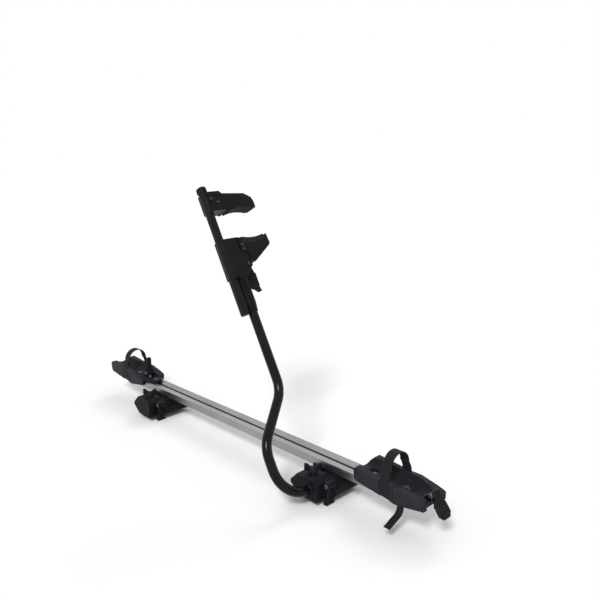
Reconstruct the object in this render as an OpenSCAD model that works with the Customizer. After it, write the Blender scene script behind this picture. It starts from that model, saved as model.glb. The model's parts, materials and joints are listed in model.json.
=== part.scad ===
// Roof mounted carrier: an aluminium rail on two clamping feet, two trays with straps and tensioners,
// and a folding arm that ends in a fixed lower jaw and a sliding upper jaw.
// Origin: centre of the front foot's seat. +X to the front, +Y away from the arm, +Z up.

/* [Rail] */
// Width of the rail
rail_w = 54; // [50:1:60]
// Height of the rail at its lips
rail_h = 22; // [21:0.5:26]
// Wall of the rail
rail_wall = 2.4; // [2:0.1:2.6]
// Depth of the shallow trough along the rail's top
rail_trough = 4; // [2:0.5:4.5]
// Flat lip along each edge of the rail's top
rail_lip = 6; // [4:0.5:9]
// Mouth of the rail's T-slots
slot_w = 8.5; // [8.2:0.1:9]
// Width of the T-slots' chambers
chamber_w = 16; // [15:0.5:18]
// Height of the T-slots' chambers
chamber_h = 5.5; // [5:0.1:5.6]
// Length of rail ahead of the front foot
rail_front = 250; // [240:1:280]
// Length of rail behind the rear foot
rail_rear = 265; // [250:1:280]
// Thickness of the rail's end caps
cap_t = 3; // [2:0.5:5]

/* [Feet] */
// Distance between the two feet
foot_pitch = 735; // [700:5:800]
// Width of the channel under a foot
bar_w = 80; // [70:1:86]
// Height of the rail's underside above the seat
seat_h = 50; // [48:1:56]
// Thickness of the rubber seat pad
pad_t = 4; // [3:0.5:6]
// Thickness of the foot's fixed hook
hook_t = 17; // [14:1:22]
// Depth of hook and claw below the seat
hook_depth = 12; // [9:0.5:16]
// Reach of hook and claw in under the channel
hook_lip = 4; // [2:0.5:6]
// Far side of the foot, from the rail's middle
foot_far = 55; // [50:1:70]
// Near side of the clamp block, from the rail's middle
block_near = 100; // [96:1:108]
// Inner side of the clamp block, from the rail's middle
block_in = 50; // [49:0.5:52]
// Height of the clamp block's top above the seat
block_h = 58; // [56:1:64]
// Length of the clamp block behind its middle
block_back = 50; // [46:1:56]
// Radius of the claw's hinge pin
claw_pin_r = 4; // [3:0.5:5]
// Radius of the claw's ears
claw_ear_r = 10; // [9:0.5:11]
// Height of the claw's hinge above the seat
claw_z = 40; // [38:1:44]
// Thickness of the claw's front plate
claw_t = 11; // [9:0.5:14]
// Width of the claw along its pin
claw_w = 24; // [20:1:30]
// Radius of the clamp knob's stud
stud_r = 4; // [3:0.5:5]
// Height of the wing knob
knob_h = 24; // [20:1:30]
// Half span of the knob's wings
knob_span = 22; // [18:1:23]

/* [Arm] */
// Outer diameter of the arm's tube
arm_d = 25; // [22:0.5:28]
// Wall of the arm's tube
arm_wall = 2; // [1.5:0.1:3]
// Rearward lean of the arm
arm_lean = 28; // [20:1:36]
// Bend radius of the tube
bend_r = 78; // [70:1:86]
// Angle by which the tube jogs back in
arm_turn = 43; // [38:1:48]
// Straight length of the tube's outer leg
outer_leg = 25; // [18:1:60]
// Distance of the upper tube from the rail's middle
arm_in = 74; // [71:1:78]
// Distance along the arm from its pivot to the holder's deck
arm_len = 665; // [630:1:700]
// Wall of the pivot bush
bush_wall = 1.5; // [1.2:0.1:2]

/* [Frame holder] */
// Width of the slide bar across the arm
slider_w = 20; // [18:0.5:21]
// Depth of the slide bar, front to back
slider_d = 24; // [22:0.5:27]
// Wall of the slide bar
slider_wall = 2.5; // [2:0.1:3]
// Wall between the arm's tube and the slide bar
slider_gap = 4; // [3:0.5:6]
// Length of slide bar below the deck
slider_below = 205; // [195:1:220]
// Wall of the holder's sleeve round the slide bar
sleeve_wall = 5.5; // [4:0.5:7]
// Length of the sleeve round the slide bar
sleeve_len = 108; // [90:1:120]
// Length of the socket round the arm's tube
socket_len = 193; // [180:1:205]
// Wall of the socket
socket_wall = 4.5; // [3.5:0.5:5]
// Width of the jaws, front to back
jaw_w = 46; // [40:1:52]
// Far end of the lower jaw, from the rail's middle
jaw_reach = 48; // [44:1:56]
// Radius of the jaws' saddles
saddle_r = 140; // [120:5:160]
// Depth of the lower saddle below the deck
saddle_dip = 11; // [8:0.5:13]
// Gap between the jaw pads at rest
jaw_gap = 90; // [80:1:96]
// Thickness of the jaw pads
jaw_pad_t = 4; // [3:0.5:5]
// Length of the upper jaw's sleeve
upper_h = 56; // [50:1:62]
// Far end of the upper jaw, from the rail's middle
upper_reach = 46; // [40:1:54]
// Length of the clamp lever
lever_len = 78; // [70:1:90]
// Radius of the clamp lever's pin
lever_pin_r = 3; // [2:0.5:4]

/* [Trays] */
// Middle of the front tray ahead of the front foot
front_tray_x = 226; // [222:1:234]
// Middle of the rear tray behind the rear foot
rear_tray_x = 168; // [164:1:176]
// Length of a tray behind its middle
tray_back = 115; // [105:1:125]
// Length of a tray's walls ahead of its middle
tray_ahead = 84; // [80:1:90]
// Half width of a tray at the top of its walls
tray_half = 46; // [44:0.5:47]
// Half width of a tray at the bottom of its skirts
skirt_half = 41; // [39:0.5:43]
// Depth of the skirts below the rail's lips, at the tray's middle
skirt_drop = 20; // [16:0.5:20.5]
// Wall of the skirts
skirt_wall = 4; // [3:0.5:5]
// Height of the walls at the tray's back
wall_back = 33; // [28:1:40]
// Height of the walls at the tray's middle
wall_mid = 26; // [22:1:32]
// Height of the walls at the tray's front
wall_ahead = 12; // [10:0.5:18]
// Thickness of the tray's floor at its lowest
tray_floor = 3.5; // [3:0.5:5]
// Radius of the cradle along the tray
cradle_r = 372; // [330:1:380]
// Radius of the cradle across the tray
cradle_half = 36; // [30:1:37]
// Width of the strap
strap_w = 26; // [20:1:30]
// Thickness of the strap
strap_t = 2.5; // [2:0.1:3]
// Height of the strap's arch above the rail's lips
strap_h = 88; // [82:1:100]
// Half width of the strap's arch
strap_half = 35; // [30:1:38]
// Length of the rear tray's tongue past its walls
tongue_len = 33; // [30:1:40]
// Thickness of the rear tray's tongue
tongue_t = 7; // [5:0.5:9]
// Length of the front tensioner lever
tens_len = 58; // [50:1:62]
// Width of the front tensioner lever
tens_w = 40; // [34:1:42]
// Length of the rear tensioner lever
rear_tens_len = 54; // [48:1:60]
// Width of the rear tensioner lever
rear_tens_w = 15; // [14:1:22]
// Radius of the tensioner's pin
tens_pin_r = 3; // [2:0.5:4]
// Angle of the front tensioner lever below level
tens_drop = 54; // [44:1:56]

/* [Hidden] */
$fn = 64;

// Clearances
eps = 0.01;
run_clear = 0.05;
move_clear = 0.35;
part_clear = 1;
groove_clear = 0.2;

// Rail
rail_top = seat_h + rail_h;
rail_mid_z = rail_top - rail_trough;
rear_x = -foot_pitch;
rail_x0 = rear_x - rail_rear;
rail_x1 = rail_front;

// Feet
foot_half = bar_w / 2 + part_clear + hook_t;
foot_bottom = -hook_depth;
deck_half = 38;
shoulder_z = 24;
deck_t = 12;
deck_lip_t = 3;
deck_lip_h = 6;
claw_x = bar_w / 2 + 8;
block_front = claw_x - claw_ear_r - part_clear;
claw_in = block_in + move_clear;
claw_near = claw_in + claw_w;
lug_half = claw_w / 6;
lug_mid = (claw_near + claw_in) / 2;
lug_r = claw_ear_r - part_clear;
knob_x = 0;
knob_y = (block_near + block_in) / 2 - 5;
knob_hub_r = 11;
stud_depth = 14;
stud_rise = 10;
rail_bolt_x = 25;
m8_r = 4;
m8_hole_r = 4.2;
m8_nut_r = 7.5;
m8_nut_h = 6.5;
nut_room_r = 10;
t_head = 13;
t_head_h = 4.5;

// Arm
pivot_wall = 13;
pivot_z = 27;
arm_r = arm_d / 2;
bush_r = arm_r + run_clear + bush_wall;
pivot_x = block_front - bush_r - pivot_wall;
bush_flange_t = 2;
bush_flange_r = bush_r + 3.5;
pivot_depth = block_near - block_in - 1;
tube_end_y = block_near - pivot_depth + 1;
bend_y = block_near + bush_flange_t + 1.5;
outer_y = bend_y + bend_r;
jog_len = (outer_y - arm_in - 2 * bend_r * (1 - cos(arm_turn))) / sin(arm_turn);
jog_v = bend_r + outer_leg;
upper_v = jog_v + 2 * bend_r * sin(arm_turn) + jog_len * cos(arm_turn);
tube_top = arm_len - 33;
lock_r = 3;
lock_len = 40;
lock_y = block_near - 38;
lock_groove = 1.4;
arm_sides = 24;

// Frame holder: in the arm's own plane, x is the carrier's Y, y runs up along the arm, z points forward
deck_v = arm_len;
jaw_root = deck_v - 43;
socket_r = arm_r + socket_wall;
socket_bottom = deck_v - 12 - socket_len;
slider_y = arm_in + arm_r + slider_gap + move_clear + slider_w / 2;
slider_bottom = deck_v - slider_below;
slider_corner = 8;
sleeve_open = slider_w / 2 - 4;
sleeve_w = slider_w + 2 * (move_clear + sleeve_wall);
sleeve_d = slider_d + 2 * (move_clear + sleeve_wall);
jaw_near = socket_r + 2 - arm_in;
jaw_mid = -4;
lower_c = deck_v - saddle_dip + saddle_r;
lower_face = deck_v - saddle_dip + jaw_pad_t;
upper_face = lower_face + jaw_gap;
upper_c = upper_face + jaw_pad_t - saddle_r;
upper_v0 = upper_face - 2;
upper_v1 = upper_v0 + upper_h;
jaw_heel = 77;
jaw_toe = 36;
jaw_horn = 10;
lever_x = jaw_near + 10;
lever_v = deck_v - jaw_heel;
lever_knuckle = 10;
lever_half = 8.5;
ear_half = 19;
cap_h = 16;
cap_grow = 2;
slider_top = upper_v1 + cap_h;

// Trays: x from the tray's middle, z from the rail's lips
band_x = -24;
band_depth = strap_t;
band_half = strap_w / 2 + part_clear;
tray_hollow_h = 9;
tray_end_drop = 1;
tongue_half = 27;
tongue_screw_x = tray_ahead + 12;
tongue_screw_r = 2.5;
front_hub_x = tray_ahead - 2;
rear_hub_x = tray_ahead - 22;
bracket_half = 12;
bracket_t = 3;
bracket_l = 26;
front_hub_lead = bracket_l / 2 - 2;
bracket_room = tens_w / 2 + 1.5;
tens_z = tongue_t + 15;
slit_w = 2.5;
slit_gap = 4;
tens_knuckle = 7;
tens_blade_t = 5;
tens_grip_r = 4;
tray_bolt_xs = [-86, 4];
tail_x = 16;
tail_y = skirt_half - skirt_wall - strap_t / 2 - groove_clear;
tail_steps = 10;
tail_drop = tray_hollow_h + skirt_drop + 2;
tail_r = 20;
tail_sweep = 70;
tail_run = 40;
tail_w = 18;

// A rectangle with true round corners, about the origin
module rounded_rect(w, h, r) {
    square([w - 2 * r, h], center = true);
    square([w, h - 2 * r], center = true);
    for (sx = [-1, 1], sy = [-1, 1])
        translate([sx * (w / 2 - r), sy * (h / 2 - r)]) circle(r = r);
}

// Carry an outline drawn in X and Z along Y
module across(y0, y1) {
    translate([0, y1, 0]) rotate([90, 0, 0]) linear_extrude(y1 - y0) children();
}

// Carry an outline drawn in Y and Z along X
module along(x0, x1) {
    translate([x0, 0, 0]) rotate([90, 0, 90]) linear_extrude(x1 - x0) children();
}

// A round bar along Y
module rod_y(r, y0, y1) {
    translate([0, y0, 0]) rotate([-90, 0, 0]) cylinder(r = r, h = y1 - y0);
}

// A screw head with a hexagon socket, standing on z = 0
module socket_head(r, h) {
    difference() {
        union() {
            cylinder(r = r, h = h * 0.7);
            translate([0, 0, h * 0.7]) cylinder(r1 = r, r2 = r * 0.8, h = h * 0.3);
        }
        translate([0, 0, h * 0.4]) cylinder(r = r * 0.5, h = h, $fn = 6);
    }
}

// Outer outline of the rail
module rail_outline() {
    c = 1.2;
    half = rail_w / 2;
    polygon([[-half, c], [c - half, 0], [half - c, 0], [half, c], [half, rail_h - c], [half - c, rail_h],
        [half - rail_lip, rail_h], [0, rail_h - rail_trough], [rail_lip - half, rail_h],
        [c - half, rail_h], [-half, rail_h - c]]);
}

// The rail's closed chamber on one side, shrunk by a clearance
module side_chamber(clear) {
    y0 = chamber_w / 2 + rail_wall + clear;
    y1 = rail_w / 2 - rail_wall - clear;
    slope = rail_trough / (rail_w / 2 - rail_lip);
    top = rail_h - rail_trough - rail_wall - clear;
    polygon([[y0, rail_wall + clear], [y1, rail_wall + clear], [y1, top + slope * y1 * 0.8],
        [y0, top + slope * y0 * 0.8]]);
}

module rail() {
    mid_h = rail_h - rail_trough;
    color("silver") translate([0, 0, seat_h]) along(rail_x0, rail_x1) difference() {
        rail_outline();
        for (z = [-eps, mid_h - rail_wall])
            translate([-slot_w / 2, z]) square([slot_w, rail_wall + eps + rail_trough]);
        for (z = [rail_wall, mid_h - rail_wall - chamber_h])
            translate([-chamber_w / 2, z]) square([chamber_w, chamber_h]);
        for (side = [0, 1]) mirror([side, 0]) side_chamber(0);
    }
}

// Moulded cap with two spigots, closing the rail's end at x = 0 and facing +X
module end_cap() {
    spigot = 14;
    translate([0, 0, seat_h]) {
        along(0, cap_t) rail_outline();
        for (side = [0, 1]) mirror([0, side, 0]) along(-spigot, 0) side_chamber(groove_clear);
    }
}

module front_end_cap() {
    color("#22242a") translate([rail_x1, 0, 0]) end_cap();
}

module rear_end_cap() {
    color("#22242a") translate([rail_x0, 0, 0]) mirror([1, 0, 0]) end_cap();
}

// Saddle under the rail, with the fixed hook at its rear
module bridge_outline() {
    hook_x = part_clear + bar_w / 2;
    polygon([[-foot_half, foot_bottom + 5], [5 - foot_half, foot_bottom],
        [hook_lip - hook_x - 2, foot_bottom], [hook_lip - hook_x, foot_bottom + 2],
        [-hook_x, 0], [-hook_x, pad_t], [foot_half - 4, pad_t], [foot_half, pad_t + 6],
        [foot_half, shoulder_z],
        [deck_half, seat_h], [-deck_half, seat_h], [-foot_half, shoulder_z]]);
}

// Eight-sided clamp block beside the rail
module block_outline() {
    polygon([[-block_back, 26], [-block_back, 34], [24 - block_back, block_h], [block_front - 12, block_h],
        [block_front, block_h - 12], [block_front, pad_t], [26 - block_back, pad_t]]);
}

module foot_base(with_arm) {
    difference() {
        union() {
            across(-block_in, foot_far) bridge_outline();
            across(-block_near, -block_in) block_outline();
            across(-lug_mid - lug_half, -lug_mid + lug_half) {
                translate([claw_x, claw_z]) circle(r = lug_r);
                translate([block_front - 1, claw_z - lug_r]) square([claw_x - block_front + 1, 2 * lug_r]);
            }
            for (side = [0, 1]) mirror([0, side, 0])
                translate([-deck_half, rail_w / 2 + groove_clear, seat_h - 1])
                    cube([2 * deck_half, deck_lip_t, deck_lip_h + 1]);
        }
        translate([claw_x, 0, claw_z]) rod_y(claw_pin_r, -block_near, -block_in);
        translate([knob_x, -knob_y, block_h - stud_depth]) cylinder(r = stud_r, h = stud_depth + 1);
        for (x = [-rail_bolt_x, rail_bolt_x]) translate([x, 0, 0]) {
            cylinder(r = m8_hole_r, h = seat_h + 1);
            cylinder(r = nut_room_r, h = seat_h - deck_t);
        }
        shelf_slot();
        foot_ribs();
        if (with_arm) {
            translate([pivot_x, 0, pivot_z]) rod_y(bush_r, -block_near - 1, -block_near + pivot_depth);
            translate([pivot_x, -lock_y, pivot_z]) rotate([0, -90, 0])
                cylinder(r = lock_r, h = pivot_x + block_back + 1);
        }
    }
}

// Recess in the shelf beside the rail
module shelf_slot() {
    slot_l = 44;
    slot_y = (rail_w / 2 + groove_clear + deck_lip_t + block_in) / 2;
    translate([0, -slot_y, seat_h]) linear_extrude(20, center = true) rounded_rect(slot_l, 9, 4);
}

// Pockets between the ribs on the far side of the foot
module foot_ribs() {
    rib_pitch = 19;
    for (i = [-1.5:1.5]) translate([i * rib_pitch, foot_far, (pad_t + shoulder_z) / 2 + 6])
        rotate([90, 0, 0]) linear_extrude(2 * 10, center = true) rounded_rect(13, 20, 3);
}

// Rubber strip under a foot, with grooves along it
module bar_pad() {
    pad_half = bar_w / 2 - 2;
    y0 = 2 - block_near;
    groove_r = 1.2;
    difference() {
        union() {
            translate([26 - block_back, y0, 0]) cube([block_front - 26 + block_back, -block_in - y0, pad_t]);
            translate([-pad_half, -block_in, 0]) cube([2 * pad_half, block_in + foot_far - 2, pad_t]);
        }
        for (x = [-16, -8, 8, 16]) translate([x, 0, 0]) rod_y(groove_r, y0 - 1, foot_far);
    }
}

// Hooked jaw that swings down and back to close the channel
module claw() {
    inner_x = bar_w / 2 + part_clear + move_clear;
    front_x = inner_x + claw_t;
    lip_x = inner_x - hook_lip;
    difference() {
        across(-claw_near, -claw_in) {
            translate([claw_x, claw_z]) circle(r = claw_ear_r);
            polygon([[claw_x - claw_ear_r, claw_z], [claw_x - claw_ear_r, 14], [inner_x, 4],
                [inner_x, 0], [lip_x, foot_bottom + 2], [lip_x + 2, foot_bottom], [front_x - 3, foot_bottom],
                [front_x, foot_bottom + 4], [front_x, 20], [claw_x + claw_ear_r, claw_z]]);
        }
        across(-lug_mid - lug_half - move_clear, -lug_mid + lug_half + move_clear)
            translate([claw_x - 30, claw_z - 2 * claw_ear_r]) square([60, 4 * claw_ear_r]);
        translate([claw_x, 0, claw_z]) rod_y(claw_pin_r + run_clear, -block_near, 0);
        across(-claw_near + 5, -claw_in - 5) translate([front_x, 4]) rounded_rect(6, 18, 2.5);
    }
}

module claw_pin() {
    head_r = claw_pin_r + 2.5;
    head_h = 3;
    translate([claw_x, 0, claw_z]) {
        rod_y(claw_pin_r, -claw_near, -claw_in);
        translate([0, -claw_near - move_clear, 0]) rotate([90, 0, 0]) socket_head(head_r, head_h);
        rod_y(claw_pin_r, -claw_near - move_clear - eps, -claw_near);
    }
}

module stud() {
    translate([knob_x, -knob_y, block_h - stud_depth]) cylinder(r = stud_r, h = stud_depth + stud_rise);
}

// Wing knob: round hub with two raised wings
module wing_knob() {
    hub_h = knob_h - 11;
    wing_r = 4;
    translate([knob_x, -knob_y, block_h + move_clear]) rotate([0, 0, 48]) difference() {
        union() {
            cylinder(r1 = knob_hub_r + 1, r2 = knob_hub_r - 1, h = hub_h);
            for (side = [0, 180]) rotate([0, 0, side]) hull() {
                translate([4, 0, 3]) cylinder(r = wing_r, h = hub_h - 3, $fn = 32);
                translate([knob_span - wing_r, 0, knob_h - 16]) cylinder(r = wing_r, h = 16, $fn = 32);
            }
        }
        translate([0, 0, -1]) cylinder(r = stud_r + run_clear, h = stud_rise + 1.5);
    }
}

// Two T-bolts and nuts that hold the rail down on a foot
module rail_bolts() {
    head_z = seat_h + rail_wall;
    nut_z = seat_h - deck_t - m8_nut_h;
    for (x = [-rail_bolt_x, rail_bolt_x]) translate([x, 0, 0]) {
        translate([-t_head / 2, -t_head / 2, head_z]) cube([t_head, t_head, t_head_h]);
        translate([0, 0, nut_z - 2]) cylinder(r = m8_r, h = head_z - nut_z + 2);
        translate([0, 0, nut_z]) cylinder(r = m8_nut_r, h = m8_nut_h, $fn = 6);
    }
}

module front_foot_base() {
    color("#2a2c31") foot_base(true);
}

module rear_foot_base() {
    color("#2a2c31") translate([rear_x, 0, 0]) foot_base(false);
}

module front_bar_pad() {
    color("#1b1b1d") bar_pad();
}

module rear_bar_pad() {
    color("#1b1b1d") translate([rear_x, 0, 0]) bar_pad();
}

module front_claw() {
    color("#303238") claw();
}

module rear_claw() {
    color("#303238") translate([rear_x, 0, 0]) claw();
}

module front_claw_pin() {
    color("#c4c7cc") claw_pin();
}

module rear_claw_pin() {
    color("#c4c7cc") translate([rear_x, 0, 0]) claw_pin();
}

module front_stud() {
    color("#b4b7bc") stud();
}

module rear_stud() {
    color("#b4b7bc") translate([rear_x, 0, 0]) stud();
}

module front_wing_knob() {
    color("#1e1f23") wing_knob();
}

module rear_wing_knob() {
    color("#1e1f23") translate([rear_x, 0, 0]) wing_knob();
}

module front_rail_bolts() {
    color("#b4b7bc") rail_bolts();
}

module rear_rail_bolts() {
    color("#b4b7bc") translate([rear_x, 0, 0]) rail_bolts();
}

// Flanged plain bush for the arm's lower end
module pivot_bush() {
    color("#1c1d20") translate([pivot_x, 0, pivot_z]) difference() {
        union() {
            rod_y(bush_r, -block_near, -block_near + pivot_depth);
            rod_y(bush_flange_r, -block_near - bush_flange_t, -block_near);
        }
        rod_y(arm_r + run_clear, -block_near - bush_flange_t - 1, 0);
        translate([0, -lock_y, 0]) rotate([0, -90, 0]) cylinder(r = lock_r + groove_clear, h = bush_r + 1);
    }
}

// Screw whose tip runs in the arm's groove and keeps the arm in its bush
module pivot_screw() {
    tip = arm_r - lock_groove + groove_clear;
    color("#c4c7cc") translate([pivot_x, -lock_y, pivot_z]) rotate([0, -90, 0])
        translate([0, 0, tip]) cylinder(r = lock_r, h = lock_len);
}

// Put the arm's own plane in place: x along the carrier's Y, y up along the arm, z forward
module in_arm() {
    translate([pivot_x, 0, pivot_z]) rotate([0, 90 - arm_lean, 0]) rotate([0, 0, 90]) children();
}

// Points along an arc with the heading there, turning with the sign of the sweep
function arc_route(c, start, sweep, steps) = [for (i = [0:steps])
    let (a = start + sweep * i / steps)
        [c[0] + bend_r * cos(a), c[1] + bend_r * sin(a), a + 90 * sign(sweep)]];

// The arm's middle line from its journal to its top, each point with its heading
arm_path = concat(
    arc_route([-bend_y, bend_r], 270, -90, 10),
    arc_route([bend_r - outer_y, jog_v], 180, -arm_turn, 6),
    arc_route([-arm_in - bend_r, upper_v], -arm_turn, arm_turn, 6),
    [[-arm_in, tube_top, 90]]);

// Rings of a given radius round the arm's middle line
function arm_rings(r) = [for (p = arm_path, k = [0:arm_sides - 1])
    let (a = 360 * k / arm_sides)
        [p[0] - r * cos(a) * sin(p[2]), p[1] + r * cos(a) * cos(p[2]), r * sin(a)]];

// Bent tube, hollow from end to end
module arm_tube() {
    n = arm_sides;
    rings = len(arm_path);
    inner = n * rings;
    last = n * (rings - 1);
    walls = [for (i = [0:rings - 2], k = [0:n - 1])
        let (a = i * n + k, b = i * n + (k + 1) % n) [a, b, b + n, a + n]];
    ends = [for (k = [0:n - 1], at = [0, last])
        let (a = at + k, b = at + (k + 1) % n) at == 0 ? [a, inner + a, inner + b, b]
            : [a, b, inner + b, inner + a]];
    bores = [for (f = walls) [inner + f[3], inner + f[2], inner + f[1], inner + f[0]]];
    color("#141518") in_arm()
        polyhedron(concat(arm_rings(arm_r), arm_rings(arm_r - arm_wall)), concat(walls, ends, bores));
}

// Turned journal on the tube's lower end, with the groove for the pivot screw
module arm_journal() {
    color("#9a9da3") in_arm() rotate([0, 0, 90]) difference() {
        rod_y(arm_r, tube_end_y, bend_y);
        rod_y(arm_r - 2 * arm_wall, tube_end_y - 1, bend_y + 1);
        difference() {
            rod_y(arm_r + 1, lock_y - lock_r - groove_clear, lock_y + lock_r + groove_clear);
            rod_y(arm_r - lock_groove, 0, block_near);
        }
    }
}

// Outline of the slide bar, grown by a clearance
module slider_outline(grow) {
    rounded_rect(slider_w + 2 * grow, slider_d + 2 * grow, slider_corner + grow);
}

// Outline of a sleeve on the slide bar, open on its near side so that the bar shows
module sleeve_outline() {
    difference() {
        rounded_rect(sleeve_w, sleeve_d, slider_corner + sleeve_wall);
        translate([-sleeve_w, -sleeve_d]) square([sleeve_w - sleeve_open, 2 * sleeve_d]);
    }
}

// Carry an outline drawn across the arm up along the arm
module up_arm(v0, v1) {
    translate([0, v1, 0]) rotate([90, 0, 0]) linear_extrude(v1 - v0) children();
}

// Carry an outline drawn in the arm's plane forward and back by half a width
module through_arm(w) {
    linear_extrude(w, center = true) children();
}

// Moulded holder: socket on the tube, sleeve for the slide bar, deck and lever ears
module holder_housing() {
    taper = 24;
    color("#1d1e22") in_arm() difference() {
        union() {
            translate([-arm_in, 0]) {
                rod_y(socket_r, socket_bottom + taper, deck_v);
                translate([0, socket_bottom]) rotate([-90, 0, 0])
                    cylinder(r1 = arm_r + 2, r2 = socket_r, h = taper);
            }
            translate([-slider_y, 0]) up_arm(deck_v - sleeve_len, deck_v) sleeve_outline();
            through_arm(2 * ear_half) holder_web();
        }
        translate([-arm_in, 0]) rod_y(arm_r, socket_bottom - 1, tube_top);
        translate([-slider_y, 0]) up_arm(socket_bottom - 1, deck_v + 1) slider_outline(move_clear);
        translate([lever_x, lever_v]) cylinder(r = lever_pin_r, h = 100, center = true);
        through_arm(2 * (lever_half + move_clear)) lever_room();
        holder_windows();
    }
}

// Web that joins socket, sleeve, deck and lever ears
module holder_web() {
    polygon([[-slider_y, deck_v], [jaw_near, deck_v], [jaw_near, jaw_root], [lever_x + 11, jaw_root],
        [lever_x + 11, lever_v - 6], [lever_x + 3, lever_v - 13], [-arm_in, lever_v - 44],
        [-slider_y, deck_v - sleeve_len + 12]]);
}

// Space in which the lever's knuckle turns
module lever_room() {
    translate([lever_x, lever_v]) circle(r = lever_knuckle + part_clear);
    polygon([[lever_x - lever_knuckle - 1, lever_v], [lever_x + 40, lever_v + 12],
        [lever_x + 40, lever_v - lever_len], [lever_x - lever_knuckle - 1, lever_v - lever_len]]);
}

// Stepped windows through the holder between sleeve and socket
module holder_windows() {
    window_d = 16;
    for (i = [0:2]) translate([-slider_y + 4, deck_v - 34 - i * 26, -sleeve_d / 2 + 1])
        cube([8, 16, window_d], center = true);
}

// Lever that locks the slide bar, hanging along the holder with its tip standing out
module clamp_lever() {
    color("#26282d") in_arm() translate([lever_x, lever_v]) difference() {
        union() {
            through_arm(2 * lever_half) circle(r = lever_knuckle);
            through_arm(2 * lever_half) polygon([[-lever_knuckle + 1, -4], [lever_knuckle, 0], [15, -22],
                [14, -lever_len + 26], [20, -lever_len], [6, -lever_len + 12], [0, -lever_len + 24],
                [-3, -30]]);
            translate([0, -lever_len / 2 - 6]) through_arm(2 * lever_half + 9)
                polygon([[1, -16], [10, -22], [15, -18], [15, 18], [8, 20], [1, 8]]);
        }
        cylinder(r = lever_pin_r + run_clear, h = 100, center = true);
    }
}

module clamp_lever_pin() {
    color("#c4c7cc") in_arm() translate([lever_x, lever_v]) {
        cylinder(r = lever_pin_r, h = 2 * ear_half, center = true);
        translate([0, 0, ear_half]) socket_head(lever_pin_r + 2, 2.5);
    }
}

// Lower jaw: a deep saddle on the end of the arm
module lower_jaw() {
    color("#1a1b1e") in_arm() difference() {
        through_arm(jaw_w) difference() {
            polygon([[jaw_near, deck_v + 4], [jaw_near, jaw_root], [lever_x + 11, jaw_root],
                [lever_x + 11, lever_v + 5], [lever_x + 23, lever_v + 2], [jaw_reach - 4, deck_v - jaw_toe],
                [jaw_reach, deck_v - jaw_toe + 6], [jaw_reach - 3, deck_v + jaw_horn - 3],
                [jaw_reach - 6, deck_v + jaw_horn], [jaw_reach - 12, deck_v + jaw_horn]]);
            translate([jaw_mid, lower_c]) circle(r = saddle_r, $fn = 128);
        }
        jaw_pockets();
        for (p = lower_screws) translate([p[0], p[1], jaw_w / 2 - 6]) cylinder(r = 2.5, h = 7);
    }
}

// Screw places on the lower jaw's front face
lower_screws = [[jaw_near + 7, deck_v - 24], [jaw_near + 7, deck_v - 36]];

// Ribbed pockets in the back face of the lower jaw
module jaw_pockets() {
    pitch = 22;
    for (i = [0:2]) translate([jaw_mid - 16 + i * pitch, deck_v - 44 + i * 10, -jaw_w / 2])
        linear_extrude(24, center = true) rounded_rect(17, 32 - i * 5, 4);
}

// Rubber lining that follows a saddle, between two angles each side of its middle
module saddle_pad(half_x) {
    difference() {
        intersection() {
            circle(r = saddle_r, $fn = 128);
            translate([-half_x, -2 * saddle_r]) square([2 * half_x, 2 * saddle_r]);
        }
        circle(r = saddle_r - jaw_pad_t, $fn = 128);
    }
}

module lower_jaw_pad() {
    color("#111113") in_arm() translate([jaw_mid, lower_c]) through_arm(jaw_w - 4)
        saddle_pad(jaw_reach - jaw_mid - 13);
}

module lower_jaw_screws() {
    color("#c4c7cc") in_arm() for (p = lower_screws) translate([p[0], p[1], jaw_w / 2]) {
        translate([0, 0, -6]) cylinder(r = 2.5, h = 6);
        socket_head(4, 2.5);
    }
}

module slide_bar() {
    color("#17181b") in_arm() translate([-slider_y, 0]) up_arm(slider_bottom, slider_top) difference() {
        slider_outline(0);
        slider_outline(-slider_wall);
    }
}

// Plug that closes the slide bar's lower end
module slide_bar_plug() {
    plug_in = 14;
    color("#222328") in_arm() translate([-slider_y, 0]) {
        up_arm(slider_bottom, slider_bottom + plug_in) slider_outline(-slider_wall);
        up_arm(slider_bottom - 3, slider_bottom) slider_outline(-1);
    }
}

// Cap over the slide bar's upper end
module slide_bar_cap() {
    skirt = cap_h - 4;
    color("#222328") in_arm() translate([-slider_y, 0]) difference() {
        union() {
            up_arm(slider_top + 4 - cap_h, slider_top + 1) slider_outline(cap_grow);
            up_arm(slider_top + 1, slider_top + 4) slider_outline(cap_grow - 2);
        }
        up_arm(slider_top - skirt - 1, slider_top) slider_outline(0);
    }
}

// Upper jaw: sleeve on the slide bar with a hooked beak
module upper_jaw() {
    beak = upper_v1 - 8;
    color("#1a1b1e") in_arm() difference() {
        union() {
            through_arm(jaw_w - 4) difference() {
                polygon([[-slider_y, upper_v0], [-slider_y, upper_v1], [jaw_near - 7, upper_v1],
                    [jaw_near + 1, beak], [upper_reach - 26, beak - 6], [upper_reach - 4, beak - 20],
                    [upper_reach, beak - 32], [upper_reach, upper_v0 - 8], [jaw_near + 10, upper_v0 - 8],
                    [jaw_near - 8, upper_v0]]);
                translate([jaw_mid, upper_c]) circle(r = saddle_r, $fn = 128);
            }
            translate([-slider_y, 0]) up_arm(upper_v0, upper_v1) sleeve_outline();
        }
        translate([-slider_y, 0]) up_arm(upper_v0 - 1, upper_v1 + 1) slider_outline(0);
        for (p = upper_bolts) translate([p[0], p[1], jaw_w / 2 - 8]) cylinder(r = 2.5, h = 9);
        translate([jaw_mid, upper_v0 + 28, -jaw_w / 2]) linear_extrude(26, center = true)
            rounded_rect(60, 14, 4);
    }
}

// Bolt places on the upper jaw's front face
upper_bolts = [[-slider_y + 6, upper_v1 - 21], [-slider_y + 25, upper_v1 - 32]];

module upper_jaw_pad() {
    color("#111113") in_arm() translate([jaw_mid, upper_c]) rotate([0, 0, 180])
        through_arm(jaw_w - 8) saddle_pad(upper_reach - jaw_mid - 10);
}

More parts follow.
